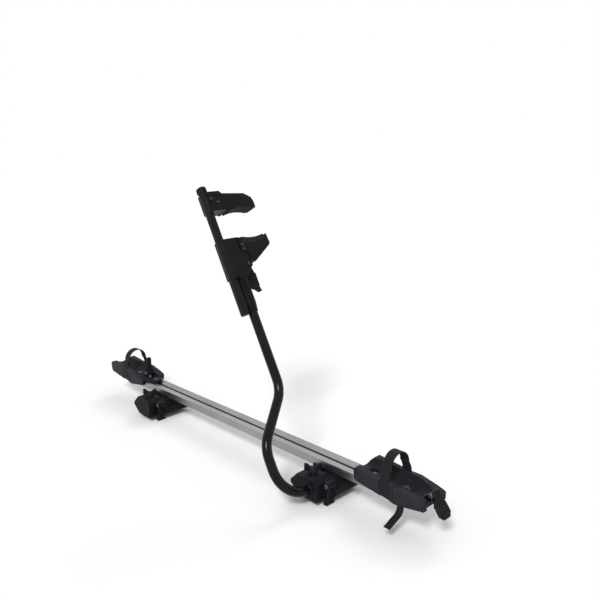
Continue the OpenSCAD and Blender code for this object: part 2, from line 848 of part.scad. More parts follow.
module upper_jaw_bolts() {
    color("#c4c7cc") in_arm() for (p = upper_bolts) translate([p[0], p[1], jaw_w / 2 - 2]) {
        translate([0, 0, -6]) cylinder(r = 2.5, h = 6);
        socket_head(5, 3);
    }
}

// Side outline of a tray: walls above the rail's lips and skirts below
module tray_side() {
    polygon([[-tray_back, tray_end_drop], [-tray_back + 6, -3], [0, -skirt_drop], [12, -skirt_drop],
        [tray_ahead, -7], [tray_ahead, wall_ahead - 3], [tray_ahead - 4, wall_ahead],
        [tray_ahead - 22, wall_ahead + 5], [18, wall_mid], [-18, wall_mid],
        [6 - tray_back, wall_back], [-tray_back, wall_back - 6]]);
}

// Half width of the tray's flared walls at a height above the rail's lips
function wall_y(z) = skirt_half + (tray_half - skirt_half) * (z + skirt_drop) / (wall_back + skirt_drop);

// Cross outline of a tray's flared walls, moved in or out
module tray_cross(grow) {
    low = skirt_drop + 5;
    high = wall_back + 5;
    polygon([[-wall_y(-low) - grow, -low], [wall_y(-low) + grow, -low], [wall_y(high) + grow, high],
        [-wall_y(high) - grow, high]]);
}

// Moulded tray: flared walls, round cradle, skirts over the rail and a level place for the bracket
module tray(seat_x, with_tongue) {
    difference() {
        union() {
            intersection() {
                across(-tray_half - 5, tray_half + 5) tray_side();
                along(-tray_back, tray_ahead) tray_cross(0);
            }
            if (with_tongue) tongue();
        }
        translate([0, 0, tray_floor + cradle_r]) rotate([90, 0, 0]) rotate_extrude($fn = 128)
            translate([cradle_r - cradle_half, 0]) circle(r = cradle_half);
        tray_underside();
        strap_bands();
        translate([seat_x - bracket_l / 2 - 1, -bracket_room, tongue_t])
            cube([tray_ahead + tongue_len - seat_x + bracket_l, 2 * bracket_room, 50]);
        if (with_tongue) translate([tongue_screw_x, 0, -1]) cylinder(r = tongue_screw_r, h = tongue_t + 2);
        for (x = tray_bolt_xs) translate([x, 0, 0]) {
            cylinder(r = m8_hole_r, h = 30, center = true);
            translate([0, 0, tray_floor - 0.5]) cylinder(r = 11, h = 30);
        }
    }
}

// Flat tongue at the tray's front, round at its end
module tongue() {
    tip = tray_ahead + tongue_len - tongue_half;
    linear_extrude(tongue_t) {
        translate([tip, 0]) circle(r = tongue_half);
        translate([tip - 60, -tongue_half]) square([60, 2 * tongue_half]);
    }
}

// Room for the rail and for the hollow behind each skirt
module tray_underside() {
    low = skirt_drop + 6;
    rib_xs = [-tray_back + 2, -72, -34, 30, 56, tray_ahead - 2];
    rail_room = rail_w / 2 + groove_clear + deck_lip_t + part_clear;
    translate([-tray_back - 1, -rail_room, -low])
        cube([tray_back + tray_ahead + tongue_len + 2, 2 * rail_room, low]);
    inner = skirt_half - skirt_wall;
    for (side = [0, 1]) mirror([0, side, 0]) difference() {
        translate([-tray_back + 4, rail_room - 1, -low])
            cube([tray_back + tray_ahead - 8, inner - rail_room + 1, low + tray_hollow_h]);
        for (x = rib_xs) translate([x - 1.5, 0, -low]) cube([3, 100, 2 * low]);
    }
}

// Everything outside the tray's flared walls, moved in by a depth
module beside_walls(depth) {
    for (side = [0, 1]) mirror([side, 0]) difference() {
        translate([20, -skirt_drop - 6]) square([60, skirt_drop + wall_back + 20]);
        tray_cross(-depth);
    }
}

// Recessed band down each wall where the strap lies, with a narrow slit ahead of it
module strap_bands() {
    slit_x = band_x + band_half + slit_gap;
    along(band_x - band_half, band_x + band_half) beside_walls(band_depth);
    along(slit_x, slit_x + slit_w) beside_walls(band_depth / 2);
}

// T-bolts and nuts that hold a tray on the rail's top slot
module tray_bolts() {
    slot_z = rail_mid_z - rail_top;
    head_z = slot_z - rail_wall - t_head_h;
    for (x = tray_bolt_xs) translate([x, 0, 0]) {
        translate([-t_head / 2, -t_head / 2, head_z]) cube([t_head, t_head, t_head_h]);
        translate([0, 0, head_z]) cylinder(r = m8_r, h = tray_floor + m8_nut_h - head_z + 1);
        translate([0, 0, tray_floor - 0.5]) cylinder(r = m8_nut_r, h = m8_nut_h, $fn = 6);
        translate([0, 0, tray_floor - 0.5]) cylinder(r = 10, h = 1.2);
    }
}

// Outline of the strap's arch over the tray, moved in by a thickness
module arch_outline(inset) {
    spring = strap_h - strap_half;
    low = 10 - skirt_drop;
    foot = wall_y(low) - band_depth + strap_t + groove_clear - inset;
    knee_z = wall_mid + 3;
    knee = wall_y(knee_z) - band_depth + strap_t + groove_clear - inset;
    half = strap_half - inset;
    polygon([[-foot, low], [foot, low], [knee, knee_z], [half, spring], [-half, spring], [-knee, knee_z]]);
    translate([0, spring]) circle(r = half);
}

// Flat strap that arches from wall to wall
module strap() {
    along(band_x - strap_w / 2, band_x + strap_w / 2) difference() {
        arch_outline(0);
        arch_outline(strap_t);
    }
}

// Bent metal bracket whose two ears lead its foot by a distance
module tensioner_bracket(hub_x, lead) {
    ear_r = 7;
    foot_t = 2;
    back = -lead - bracket_l / 2;
    translate([hub_x, 0, tongue_t]) difference() {
        union() {
            translate([back, -bracket_half - bracket_t, 0])
                cube([bracket_l, 2 * (bracket_half + bracket_t), foot_t]);
            for (y = [-bracket_half - bracket_t, bracket_half]) across(y, y + bracket_t) {
                translate([0, tens_z - tongue_t]) circle(r = ear_r);
                polygon([[back, 0], [back + bracket_l, 0], [ear_r, tens_z - tongue_t],
                    [-ear_r, tens_z - tongue_t]]);
            }
        }
        translate([0, 0, tens_z - tongue_t]) rod_y(tens_pin_r, -50, 50);
    }
}

// Pin with a round head through the bracket's ears
module tensioner_pin(hub_x) {
    out = bracket_half + bracket_t;
    translate([hub_x, 0, tens_z]) {
        rod_y(tens_pin_r, -out, out);
        translate([0, -out, 0]) rotate([90, 0, 0]) socket_head(tens_pin_r + 3, 3);
    }
}

// Tensioner lever about its pin, standing up: round drum with a thin paddle
module tensioner_lever(length, width) {
    drum = bracket_half - move_clear;
    half = width / 2;
    corner = width / 4;
    face = -tens_blade_t / 2;
    difference() {
        union() {
            rod_y(tens_knuckle, -drum, drum);
            across(-drum, drum) polygon([[-tens_knuckle, 0], [tens_knuckle, 0], [-face, 20], [face, 20]]);
            along(face, -face) polygon([[-drum, 14], [drum, 14], [half, 24], [half, length - corner],
                [half - corner, length], [corner - half, length], [-half, length - corner], [-half, 24]]);
            translate([face, 0, length - 6]) rod_y(tens_grip_r, corner - half, half - corner);
        }
        rod_y(tens_pin_r + run_clear, -50, 50);
        for (z = [length - 26, length - 20]) translate([face, 0, z]) rod_y(1, 5 - half, half - 5);
    }
}

// Middle line of the loose strap end: straight down, round a bend and on
tail_path = concat([[0, 0, 0]], [for (i = [0:tail_steps]) let (a = tail_sweep * i / tail_steps)
    [tail_r * (1 - cos(a)), -tail_drop - tail_r * sin(a), a]],
    [[tail_r * (1 - cos(tail_sweep)) + tail_run * sin(tail_sweep),
        -tail_drop - tail_r * sin(tail_sweep) - tail_run * cos(tail_sweep), tail_sweep]]);

// Loose strap end that hangs from under the front tray and turns out at its foot
module strap_tail() {
    half = strap_t / 2;
    n = len(tail_path) - 1;
    sides = [for (side = [-1, 1], i = [0:n])
        let (p = tail_path[side < 0 ? i : n - i])
            [p[0] + side * half * cos(p[2]), p[1] + side * half * sin(p[2])]];
    translate([tail_x, -tail_y, tray_hollow_h]) rotate([0, 0, -90]) rotate([90, 0, 0])
        linear_extrude(tail_w, center = true) polygon(sides);
}

module in_front_tray() {
    translate([front_tray_x, 0, rail_top]) children();
}

module in_rear_tray() {
    translate([rear_x - rear_tray_x, 0, rail_top]) children();
}

module front_tray() {
    color("#363840") in_front_tray() tray(front_hub_x - front_hub_lead, false);
}

module rear_tray() {
    color("#363840") in_rear_tray() tray(rear_hub_x, true);
}

module front_tray_bolts() {
    color("#b4b7bc") in_front_tray() tray_bolts();
}

module rear_tray_bolts() {
    color("#b4b7bc") in_rear_tray() {
        tray_bolts();
        translate([tongue_screw_x, 0, tongue_t]) {
            socket_head(5, 2.5);
            translate([0, 0, -tongue_t]) cylinder(r = tongue_screw_r, h = tongue_t + eps);
        }
    }
}

module front_strap() {
    color("#202125") in_front_tray() strap();
}

module rear_strap() {
    color("#202125") in_rear_tray() strap();
}

module front_strap_tail() {
    color("#202125") in_front_tray() strap_tail();
}

module front_tensioner_bracket() {
    color("#17181b") in_front_tray() tensioner_bracket(front_hub_x, front_hub_lead);
}

module rear_tensioner_bracket() {
    color("#17181b") in_rear_tray() tensioner_bracket(rear_hub_x, 0);
}

module front_tensioner_pin() {
    color("#c4c7cc") in_front_tray() tensioner_pin(front_hub_x);
}

module rear_tensioner_pin() {
    color("#c4c7cc") in_rear_tray() tensioner_pin(rear_hub_x);
}

module front_tensioner_lever() {
    color("#1e1f23") in_front_tray() translate([front_hub_x, 0, tens_z])
        rotate([0, 90 + tens_drop, 0]) tensioner_lever(tens_len, tens_w);
}

module rear_tensioner_lever() {
    color("#1e1f23") in_rear_tray() translate([rear_hub_x, 0, tens_z])
        tensioner_lever(rear_tens_len, rear_tens_w);
}

rail();
front_end_cap();
rear_end_cap();
front_foot_base();
front_bar_pad();
front_claw();
front_claw_pin();
front_stud();
front_wing_knob();
front_rail_bolts();
rear_foot_base();
rear_bar_pad();
rear_claw();
rear_claw_pin();
rear_stud();
rear_wing_knob();
rear_rail_bolts();
pivot_bush();
pivot_screw();
arm_journal();
arm_tube();
holder_housing();
lower_jaw();
lower_jaw_pad();
lower_jaw_screws();
clamp_lever();
clamp_lever_pin();
slide_bar();
slide_bar_plug();
slide_bar_cap();
upper_jaw();
upper_jaw_pad();
upper_jaw_bolts();
front_tray();
front_tray_bolts();
front_strap();
front_strap_tail();
front_tensioner_bracket();
front_tensioner_pin();
front_tensioner_lever();
rear_tray();
rear_tray_bolts();
rear_strap();
rear_tensioner_bracket();
rear_tensioner_pin();
rear_tensioner_lever();
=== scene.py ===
"""Looks of a roof mounted carrier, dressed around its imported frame. Lengths are in metres."""
import json
import math

import bmesh
import bpy
from bmesh.types import BMEdge, BMVert
from mathutils import Matrix, Vector


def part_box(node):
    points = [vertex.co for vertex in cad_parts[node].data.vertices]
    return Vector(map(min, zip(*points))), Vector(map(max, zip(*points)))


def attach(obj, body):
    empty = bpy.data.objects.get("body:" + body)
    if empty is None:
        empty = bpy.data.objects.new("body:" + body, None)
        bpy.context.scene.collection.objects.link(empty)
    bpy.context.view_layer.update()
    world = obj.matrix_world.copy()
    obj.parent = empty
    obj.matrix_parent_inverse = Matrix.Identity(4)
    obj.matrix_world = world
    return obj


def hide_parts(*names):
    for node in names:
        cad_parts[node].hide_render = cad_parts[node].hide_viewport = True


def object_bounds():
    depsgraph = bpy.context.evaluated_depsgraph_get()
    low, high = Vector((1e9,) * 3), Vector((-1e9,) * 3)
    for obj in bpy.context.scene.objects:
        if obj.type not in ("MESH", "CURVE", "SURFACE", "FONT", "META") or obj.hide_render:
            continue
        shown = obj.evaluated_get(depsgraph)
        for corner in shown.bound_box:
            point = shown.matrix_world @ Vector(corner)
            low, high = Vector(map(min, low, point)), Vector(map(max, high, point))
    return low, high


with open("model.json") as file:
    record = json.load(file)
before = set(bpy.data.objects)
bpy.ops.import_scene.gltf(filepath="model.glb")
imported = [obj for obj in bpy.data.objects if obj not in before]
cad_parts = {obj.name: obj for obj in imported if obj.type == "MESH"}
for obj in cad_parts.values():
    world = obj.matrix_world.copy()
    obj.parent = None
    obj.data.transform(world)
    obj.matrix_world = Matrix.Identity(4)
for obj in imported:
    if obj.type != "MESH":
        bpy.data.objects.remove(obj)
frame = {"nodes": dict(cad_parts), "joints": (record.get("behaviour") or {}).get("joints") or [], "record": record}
NODES = frame["nodes"]
RECORD = frame["record"]
CAD_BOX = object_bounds()
SLOT_OF = {part["node"]: part["material_slot"] for part in RECORD["subparts"]}
BODY_OF = {node: body for body, nodes in RECORD["behaviour"]["bodies"].items() for node in nodes}
JOINTS = {joint["name"]: joint for joint in frame["joints"]}
MM = 0.001
ENDS = ("front", "rear")

# Camera: the photograph's pinhole view, in pixels of its own square frame
PHOTO_SIDE = 600
FOCAL_PX = 700.6
AXIS_PX = (264.9, 249.06)
EYE = Vector((1.13967, -1.24183, 0.90112))
YAW, PITCH, ROLL = (math.radians(angle) for angle in (137.907, 9.569, -1.478))
SENSOR = 36.0

# Rounded edges: a copy of each node here gets the radius beside it, in millimetres
END_ROUNDS = {"foot_base": 1.5, "claw": 1.2, "wing_knob": 1.2, "tray": 1.2,
              "tensioner_lever": 0.9, "end_cap": 0.5}
ROUNDS = {"holder_housing": 1.4, "lower_jaw": 2.0, "upper_jaw": 2.0, "clamp_lever": 1.2,
          "slide_bar": 0.6, "slide_bar_cap": 1.0, "slide_bar_plug": 0.6, "rail": 0.6}
ROUND_STEPS = 2
ROUND_FROM = math.radians(33)
FLAT_WITHIN = math.radians(0.5)
MERGE = 0.002 * MM

# Bent tube of the arm, in the arm's own plane: x along the carrier's Y, y up along the arm
TUBE_RADIUS = 12.5 * MM
TUBE_SIDES = 48
BEND_RADIUS = 78 * MM
BEND_START = 103.5 * MM
OUTER_LEG = 25 * MM
ELBOW_ANGLE, ELBOW_STEPS = math.radians(90), 24
JOG_ANGLE, JOG_STEPS = math.radians(43), 14
ARM_IN = 74 * MM
TUBE_TOP = 632 * MM
ARM_LEAN = math.radians(28)
TUBE_WELD = 0.01 * MM

# Raised fields on the holder's flats: x across the arm, y from the deck, in millimetres
DECK = 665 * MM
LOWER_JAW_HALF, UPPER_JAW_HALF, HOUSING_HALF = 23 * MM, 21 * MM, 19 * MM
HOUSING_FIELDS = (
    ((-84, -5), (-60, -5), (-60, -64), (-84, -64)),
    ((-84, -69), (-57, -69), (-57, -96), (-70, -108), (-84, -104)),
)
LOWER_JAW_FIELD = (
    (-28, -47), (-28, -66), (-20, -69), (37, -37), (40, -29), (34, -26), (4, -31))
UPPER_JAW_FIELD = (
    (-62, 93), (-62, 130), (-53, 123), (14, 117), (33, 105), (40, 92), (36, 87), (4, 93))
FIELD_SINK, FIELD_RISE, FIELD_ROUND = 0.4 * MM, 1.5 * MM, 0.7 * MM

# Lip of the lower jaw's lining, in the arm's own plane
SADDLE_RADIUS = 140 * MM
SADDLE_CENTRE = (-4 * MM, DECK + 129 * MM)
LIP_INNER, LIP_OUTER = SADDLE_RADIUS - 4 * MM, SADDLE_RADIUS + 12 * MM
LIP_REACH, LIP_STEPS = 38 * MM, 30
LIP_THICK, LIP_SOFT = 2.4 * MM, 0.8 * MM

# Trays: x from the tray's middle, z from the rail's lips, with the panels in millimetres
TRAY_X = {"front": 226 * MM, "rear": -903 * MM}
RAIL_TOP = 72 * MM
SKIRT_DROP, SKIRT_HALF = 20 * MM, 41 * MM
WALL_BACK, WALL_HALF = 33 * MM, 46 * MM
PANELS = (
    ((-109, 1), (-44, -8.5), (-44, 23.5), (-106, 28.5)),
    ((3, -16), (12, -16), (78, -4), (78, 8), (62, 12.5), (18, 21.5), (3, 21.5)),
)
PANEL_SINK, PANEL_RISE, PANEL_ROUND = 0.4 * MM, 1.3 * MM, 0.6 * MM
TONGUE_TIP, TONGUE_HALF, TONGUE_TOP = 117 * MM, 27 * MM, 7 * MM
RIM_INSET, RIM_WIDTH, RIM_BACK = 1.2 * MM, 4 * MM, 4 * MM
RIM_SINK, RIM_RISE, RIM_ROUND = 0.5 * MM, 2.4 * MM, 0.8 * MM
RIM_STEP = 6
RIM_CORNER = math.radians(30)

# Straps: heights from the rail's lips, angles in degrees
STRAP_WIDTH, STRAP_THICK, STRAP_SOFT = 26 * MM, 2.2 * MM, 0.7 * MM
STRAP_COLUMNS = 6
STRAP_ON_WALL = (-10 * MM, 4 * MM, 18 * MM)
STRAP_KNEE, KNEE_STEPS = 36 * MM, 10
STRAP_ARCH = 33.75 * MM
STRAP_HEIGHT = 86.75 * MM
STRAP_STEP = 5
TAIL_WIDTH = 18 * MM
TAIL_AT = (16 * MM, -35.55 * MM, 9 * MM)
TAIL_DROP, TAIL_BEND, TAIL_RUN = 31 * MM, 20 * MM, 40 * MM
TAIL_SWEEP, TAIL_PARTS = 70, 3
STITCH_ROWS, STITCHES_PER_SIDE = 5, 3
STITCH_START, STITCH_PITCH, STITCH_MARGIN = 5 * MM, 3.2 * MM, 3 * MM
STITCH_HALF_SIZES = (1.5 * MM, 0.5 * MM, 0.5 * MM)
STITCH_SEGMENTS, STITCH_RINGS = 8, 6

# Finishes: where a noise is at its lowest and highest, and how far and how pale the painted highlight on edges
# runs
NOISE_LOW, NOISE_HIGH = 0.3, 0.7
# Painted highlight on edges: its reach, how many times paler than the base, and its share
HIGHLIGHT_REACH, HIGHLIGHT_PALER, HIGHLIGHT_SHARE = 1.6 * MM, 6.5, 0.75
HIGHLIGHT_SAMPLES = 4
HIGHLIGHT_FLAT, HIGHLIGHT_CORNER = 0.99, 0.80
GLOSS_DRIFT = 0.06
WAVE_LENGTH = 0.314
WEFT_PITCH, WARP_PITCH = 1.6 * MM, 1.1 * MM
BLACKENED = ("lower_jaw_screws", "upper_jaw_bolts", "clamp_lever_pin")

# Stage and lamps: each lamp's place, its spread in degrees and its power
FLOOR_HALF = 15
FLOOR_GAP = 0.2 * MM
FLOOR_DARK, FLOOR_LIGHT = (0.935, 0.935, 0.935), (0.945, 0.945, 0.945)
FILL = 0.55
LAMPS = {
    "key": ((0.9, -2.4, 3.0), 14, 1.9),
    "back": ((-1.2, 2.4, 3.0), 24, 0.5),
}


# Materials

def new_finish(name, colour, roughness, metallic=0.0, **sockets):
    """A principled material whose constant values sit on the shader's own sockets."""
    finish = bpy.data.materials.new(name)
    finish.use_nodes = True
    shader_socket(finish, "Base Color").default_value = (*colour, 1)
    shader_socket(finish, "Roughness").default_value = roughness
    shader_socket(finish, "Metallic").default_value = metallic
    for socket, value in sockets.items():
        shader_socket(finish, socket.replace("_", " ")).default_value = value
    return finish


def shader_socket(finish, socket):
    return finish.node_tree.nodes["Principled BSDF"].inputs[socket]


def add_node(finish, kind, **inputs):
    node = finish.node_tree.nodes.new(kind)
    for socket, value in inputs.items():
        node.inputs[socket.replace("_", " ")].default_value = value
    return node


def connect(finish, source, target):
    finish.node_tree.links.new(source, target)


def object_space(finish, stretch=(1, 1, 1)):
    """Object coordinates, drawn out along some axes."""
    coordinates = add_node(finish, "ShaderNodeTexCoord")
    mapping = add_node(finish, "ShaderNodeMapping", Scale=stretch)
    connect(finish, coordinates.outputs["Object"], mapping.inputs["Vector"])
    return mapping.outputs["Vector"]


def noise(finish, scale, detail=3.0, stretch=(1, 1, 1)):
    texture = add_node(finish, "ShaderNodeTexNoise", Scale=scale, Detail=detail, Roughness=0.55)
    connect(finish, object_space(finish, stretch), texture.inputs["Vector"])
    return texture.outputs["Fac"]


def tint(finish, amount, dark, light, low=NOISE_LOW, high=NOISE_HIGH):
    """Let a pattern run the base colour from dark to light."""
    ramp = add_node(finish, "ShaderNodeValToRGB")
    for stop, position, colour in zip(ramp.color_ramp.elements, (low, high), (dark, light)):
        stop.position = position
        stop.color = (*colour, 1)
    connect(finish, amount, ramp.inputs["Fac"])
    connect(finish, ramp.outputs["Color"], shader_socket(finish, "Base Color"))


def polish(finish, amount, smooth, rough):
    """Let a pattern run the roughness."""
    spread = add_node(finish, "ShaderNodeMapRange")
    spread.inputs["From Min"].default_value = NOISE_LOW
    spread.inputs["From Max"].default_value = NOISE_HIGH
    spread.inputs["To Min"].default_value = smooth
    spread.inputs["To Max"].default_value = rough
    connect(finish, amount, spread.inputs["Value"])
    connect(finish, spread.outputs["Result"], shader_socket(finish, "Roughness"))


def relief(finish, amount, height, strength):
    """Raise a pattern from the surface."""
    bump = add_node(finish, "ShaderNodeBump", Strength=strength, Distance=height)
    connect(finish, amount, bump.inputs["Height"])
    connect(finish, bump.outputs["Normal"], shader_socket(finish, "Normal"))


def painted_edge_highlights(finish, colour):
    """Paint a pale highlight into the base colour on the edges, found where a rounded normal leaves the true one.
    """
    rounded = add_node(finish, "ShaderNodeBevel", Radius=HIGHLIGHT_REACH)
    rounded.samples = HIGHLIGHT_SAMPLES
    surface = add_node(finish, "ShaderNodeNewGeometry")
    agree = add_node(finish, "ShaderNodeVectorMath")
    agree.operation = "DOT_PRODUCT"
    connect(finish, rounded.outputs["Normal"], agree.inputs[0])
    connect(finish, surface.outputs["Normal"], agree.inputs[1])
    edge = add_node(finish, "ShaderNodeMapRange")
    edge.inputs["From Min"].default_value = HIGHLIGHT_FLAT
    edge.inputs["From Max"].default_value = HIGHLIGHT_CORNER
    edge.inputs["To Max"].default_value = HIGHLIGHT_SHARE
    connect(finish, agree.outputs["Value"], edge.inputs["Value"])
    mix = add_node(finish, "ShaderNodeMix")
    mix.data_type = "RGBA"
    base = shader_socket(finish, "Base Color")
    connect(finish, base.links[0].from_socket, mix.inputs["A"])
    mix.inputs["B"].default_value = (*colour, 1)
    connect(finish, edge.outputs["Result"], mix.inputs["Factor"])
    connect(finish, mix.outputs["Result"], base)


def anodised_rail(name, dark, light):
    """Extruded aluminium with a satin skin and fine die lines along X."""
    finish = new_finish(name, light, roughness=0.36, metallic=1.0)
    lines = noise(finish, scale=1.0, detail=2, stretch=(3, 900, 900))
    tint(finish, noise(finish, scale=9.0), dark, light)
    polish(finish, lines, smooth=0.30, rough=0.44)
    relief(finish, lines, height=0.04 * MM, strength=0.3)
    return finish


def grained_moulding(name, dark, light, roughness, sheen, grain):
    """Moulded plastic: fine spark grain, a little colour drift and a painted highlight on its edges."""
    finish = new_finish(name, light, roughness, Specular_IOR_Level=sheen)
    drift = noise(finish, scale=11.0)
    tint(finish, drift, dark, light)
    # Painted highlight: the edges get a paler base colour, as if lit
    painted_edge_highlights(finish, tuple(HIGHLIGHT_PALER * part for part in light))
    polish(finish, drift, smooth=roughness - GLOSS_DRIFT, rough=roughness + GLOSS_DRIFT)
    relief(finish, noise(finish, scale=1400.0, detail=2), height=0.12 * MM, strength=grain)
    return finish


def coated_tube(name, dark, light):
    """Satin black powder coat with a light orange peel."""
    finish = new_finish(name, light, roughness=0.17, Specular_IOR_Level=0.15)
    drift = noise(finish, scale=14.0)
    tint(finish, drift, dark, light)
    polish(finish, drift, smooth=0.14, rough=0.20)
    relief(finish, noise(finish, scale=420.0, detail=1), height=0.08 * MM, strength=0.15)
    return finish


def matt_rubber(name, dark, light):
    """Dull rubber with a cloudy bloom."""
    finish = new_finish(name, light, roughness=0.82, Specular_IOR_Level=0.15)
    bloom = noise(finish, scale=40.0, detail=5)
    tint(finish, bloom, dark, light)
    polish(finish, bloom, smooth=0.74, rough=0.90)
    relief(finish, noise(finish, scale=700.0), height=0.1 * MM, strength=0.3)
    return finish


def plated_steel(name, dark, light):
    """Plated steel with a faint brush and cloudy passivation."""
    finish = new_finish(name, light, roughness=0.3, metallic=1.0)
    cloud = noise(finish, scale=120.0)
    tint(finish, cloud, dark, light)
    polish(finish, cloud, smooth=0.22, rough=0.40)
    brush = noise(finish, scale=500.0, stretch=(1, 1, 9))
    relief(finish, brush, height=0.03 * MM, strength=0.2)
    return finish


def woven_webbing(name, dark, light):
    """Flat woven webbing: ribs across the band and lines along it, on the band's own map."""
    finish = new_finish(name, light, roughness=0.78, Specular_IOR_Level=0.15,
                        Sheen_Weight=0.06, Sheen_Roughness=0.4)
    own_map = add_node(finish, "ShaderNodeUVMap")
    weave = add_node(finish, "ShaderNodeMath")
    weave.operation = "MULTIPLY"
    for socket, direction, pitch in zip(weave.inputs, "XY", (WEFT_PITCH, WARP_PITCH)):
        wave = add_node(finish, "ShaderNodeTexWave", Scale=WAVE_LENGTH / pitch, Distortion=0.6)
        wave.bands_direction = direction
        connect(finish, own_map.outputs["UV"], wave.inputs["Vector"])
        connect(finish, wave.outputs["Fac"], socket)
    tint(finish, weave.outputs["Value"], dark, light, low=0.1, high=0.8)
    relief(finish, weave.outputs["Value"], height=0.3 * MM, strength=0.6)
    return finish


FINISHES = {name: make(name, dark, light, **values) for name, make, dark, light, values in (
    ("rail_aluminium", anodised_rail, (0.28, 0.283, 0.295), (0.34, 0.343, 0.355), {}),
    ("black_moulding", grained_moulding, (0.006, 0.0061, 0.0079), (0.0092, 0.0095, 0.0119),
     {"roughness": 0.42, "sheen": 0.07, "grain": 0.22}),
    ("tray_moulding", grained_moulding, (0.0105, 0.0105, 0.014), (0.0148, 0.0148, 0.0192),
     {"roughness": 0.48, "sheen": 0.07, "grain": 0.18}),
    ("tray_panel", grained_moulding, (0.0185, 0.0185, 0.0255), (0.025, 0.025, 0.034),
     {"roughness": 0.48, "sheen": 0.07, "grain": 0.18}),
    ("jaw_moulding", grained_moulding, (0.005, 0.005, 0.0056), (0.0078, 0.0078, 0.0086),
     {"roughness": 0.36, "sheen": 0.08, "grain": 0.26}),
    ("black_tube", coated_tube, (0.003, 0.003, 0.004), (0.006, 0.006, 0.007), {}),
    ("rubber", matt_rubber, (0.010, 0.010, 0.011), (0.022, 0.022, 0.024), {}),
    ("steel", plated_steel, (0.15, 0.153, 0.16), (0.24, 0.244, 0.255), {}),
    ("blackened_steel", plated_steel, (0.035, 0.036, 0.04), (0.065, 0.066, 0.072), {}),
    ("webbing", woven_webbing, (0.007, 0.007, 0.008), (0.025, 0.025, 0.0275), {}),
)}


# Pieces

def dress(piece, finish):
    piece.data.materials.clear()
    piece.data.materials.append(FINISHES[finish])


def add_piece(name, shape, node, stands_for=True, sharp=40):
    """Show a shape on a node's body and in its finish, in the node's place or beside it."""
    mesh = bpy.data.meshes.new(name)
    shape.to_mesh(mesh)
    shape.free()
    mesh.shade_smooth()
    mesh.set_sharp_from_angle(angle=math.radians(sharp))
    piece = bpy.data.objects.new(name, mesh)
    bpy.context.scene.collection.objects.link(piece)
    dress(piece, SLOT_OF[node])
    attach(piece, BODY_OF[node])
    if stands_for:
        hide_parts(node)
    return piece


def even_shading(piece):
    """Let the flats keep their own normals beside the rounded edges."""
    shading = piece.modifiers.new("even_shading", "WEIGHTED_NORMAL")
    shading.keep_sharp = True
    shading.weight = 100


def thicken(piece, thickness, soft_edge):
    """Give a sheet its thickness, half on each side, and soften its edges."""
    wall = piece.modifiers.new("thickness", "SOLIDIFY")
    wall.thickness = thickness
    wall.offset = 0
    edge = piece.modifiers.new("soft_edge", "BEVEL")
    edge.width = soft_edge
    edge.segments = ROUND_STEPS
    edge.limit_method = "ANGLE"


def of_kind(kind, made):
    """The vertices or the edges among what an operator made."""
    return [part for part in made if isinstance(part, kind)]


def round_over(shape, edges, radius, **limits):
    bmesh.ops.bevel(shape, geom=edges, offset=radius, offset_type="OFFSET", affect="EDGES",
                    segments=ROUND_STEPS, profile=0.5, material=-1, **limits)


def drawn(shape, edges, offset):
    """Draw edges out by an offset into faces, and return the edges at their far side."""
    made = bmesh.ops.extrude_edge_only(shape, edges=edges)["geom"]
    verts = of_kind(BMVert, made)
    bmesh.ops.translate(shape, vec=offset, verts=verts)
    return [edge for edge in of_kind(BMEdge, made) if all(vert in verts for vert in edge.verts)]


def flat_face(shape, points):
    verts = [shape.verts.new(point) for point in points]
    return bmesh.ops.contextual_create(shape, geom=verts)["faces"][0]


def raised_panel(shape, points, offset, radius):
    """A panel raised from a flat outline by an offset, with its rim rounded over."""
    face = flat_face(shape, points)
    made = bmesh.ops.extrude_face_region(shape, geom=[face])["geom"]
    bmesh.ops.translate(shape, vec=offset, verts=of_kind(BMVert, made))
    round_over(shape, of_kind(BMEdge, made), radius)


def rounded_copy(node, radius):
    """A copy of a node whose flats are joined and whose edges are rounded over."""
    shape = bmesh.new()
    shape.from_mesh(NODES[node].data)
    bmesh.ops.remove_doubles(shape, verts=shape.verts, dist=MERGE)
    bmesh.ops.dissolve_limit(shape, angle_limit=FLAT_WITHIN, verts=shape.verts, edges=shape.edges)
    edges = [edge for edge in shape.edges if len(edge.link_faces) == 2
             and edge.calc_face_angle() > ROUND_FROM and edge.calc_length() > 2 * radius]
    round_over(shape, edges, radius, clamp_overlap=True)
    bmesh.ops.dissolve_degenerate(shape, edges=shape.edges, dist=MERGE)
    even_shading(add_piece(node + "_moulded", shape, node))


def arm_place():
    """Matrix from the arm's own plane to the carrier's frame."""
    along = Vector((-math.sin(ARM_LEAN), 0, math.cos(ARM_LEAN)))
    ahead = Vector((math.cos(ARM_LEAN), 0, math.sin(ARM_LEAN)))
    place = Matrix((Vector((0, 1, 0)), along, ahead)).transposed().to_4x4()
    pivot = JOINTS["arm_fold"]["pos_m"]
    place.translation = (pivot[0], 0, pivot[2])
    return place


